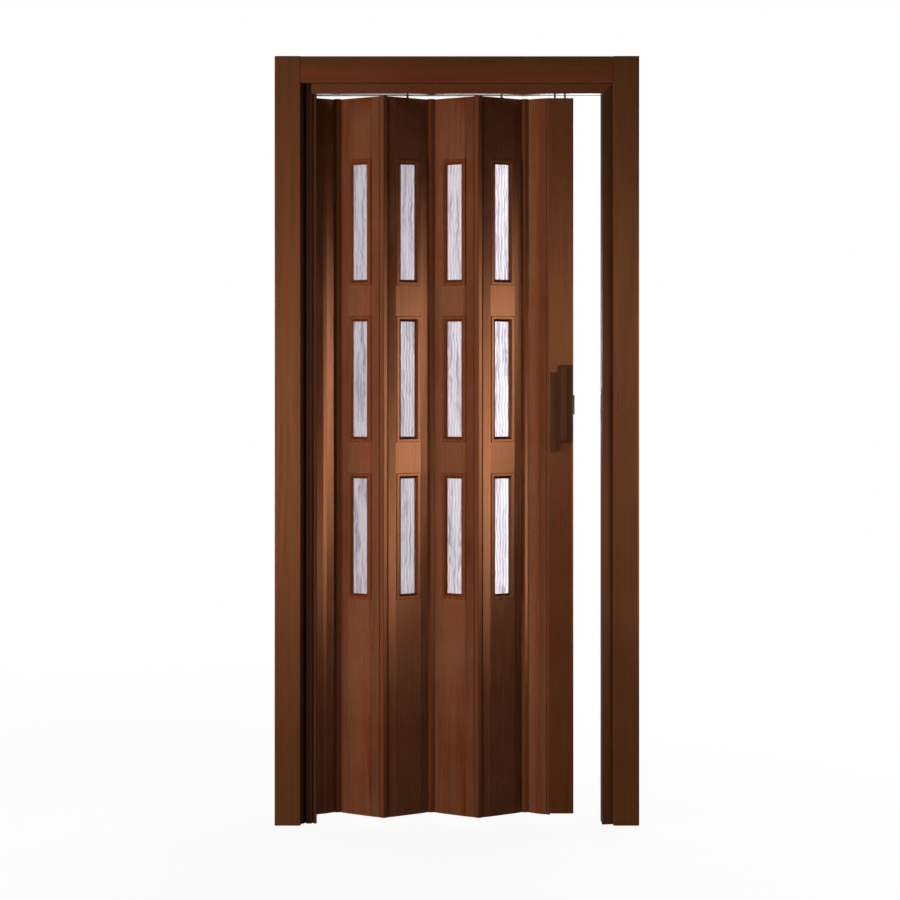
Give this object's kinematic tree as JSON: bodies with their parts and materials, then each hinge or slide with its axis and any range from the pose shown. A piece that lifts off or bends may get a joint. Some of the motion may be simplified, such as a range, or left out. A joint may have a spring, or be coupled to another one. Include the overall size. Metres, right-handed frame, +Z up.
{
  "type": "folding door in a cased doorway",
  "caption": "Brown panelled accordion door with ribbed glass lights, hung from a head track in a cased doorway and shown part open.",
  "frame": {"origin": "on the wall face of the left lining, at its foot and half way through its depth", "axes": "+Z up, +X to the right across the doorway seen from the front, -Y out of the front of the doorway"},
  "size_m": [1.01, 0.124, 2.13],
  "materials": {
    "casing_foil": "satin wood-grain foil",
    "lining_foil": "satin wood-grain foil",
    "rail_foil": "satin",
    "slat_foil": "satin wood-grain foil",
    "post_foil": "satin wood-grain foil",
    "moulding_foil": "satin",
    "hinge_vinyl": "satin soft vinyl",
    "ribbed_pane": "ribbed translucent",
    "handle_plastic": "satin",
    "hanger_nylon": "matte",
    "plate_steel": "satin bronze"
  },
  "bodies": {
    "root": {"back_handle": "handle_plastic", "closing_post": "post_foil", "front_handle": "handle_plastic", "head_back_casing": "casing_foil", "head_casing": "casing_foil", "head_lining": "lining_foil", "latch": "handle_plastic", "lead_slat": "slat_foil", "left_back_casing": "casing_foil", "left_casing": "casing_foil", "left_lining": "lining_foil", "post_hangers": "hanger_nylon", "ridge_hinge_1": "hinge_vinyl", "ridge_hinge_2": "hinge_vinyl", "right_back_casing": "casing_foil", "right_casing": "casing_foil", "right_lining": "lining_foil", "slat_1": "slat_foil", "slat_1_back_frames": "moulding_foil", "slat_1_front_frames": "moulding_foil", "slat_1_panes": "ribbed_pane", "slat_2": "slat_foil", "slat_2_back_frames": "moulding_foil", "slat_2_front_frames": "moulding_foil", "slat_2_hanger": "hanger_nylon", "slat_2_panes": "ribbed_pane", "slat_3": "slat_foil", "slat_3_back_frames": "moulding_foil", "slat_3_front_frames": "moulding_foil", "slat_3_panes": "ribbed_pane", "slat_4": "slat_foil", "slat_4_back_frames": "moulding_foil", "slat_4_front_frames": "moulding_foil", "slat_4_hanger": "hanger_nylon", "slat_4_panes": "ribbed_pane", "starter_slat": "slat_foil", "strike_plate": "plate_steel", "strike_rail": "rail_foil", "top_track": "rail_foil", "valley_hinge_1": "hinge_vinyl", "valley_hinge_2": "hinge_vinyl", "valley_hinge_3": "hinge_vinyl", "wall_rail": "rail_foil"}
  },
  "joints": []
}
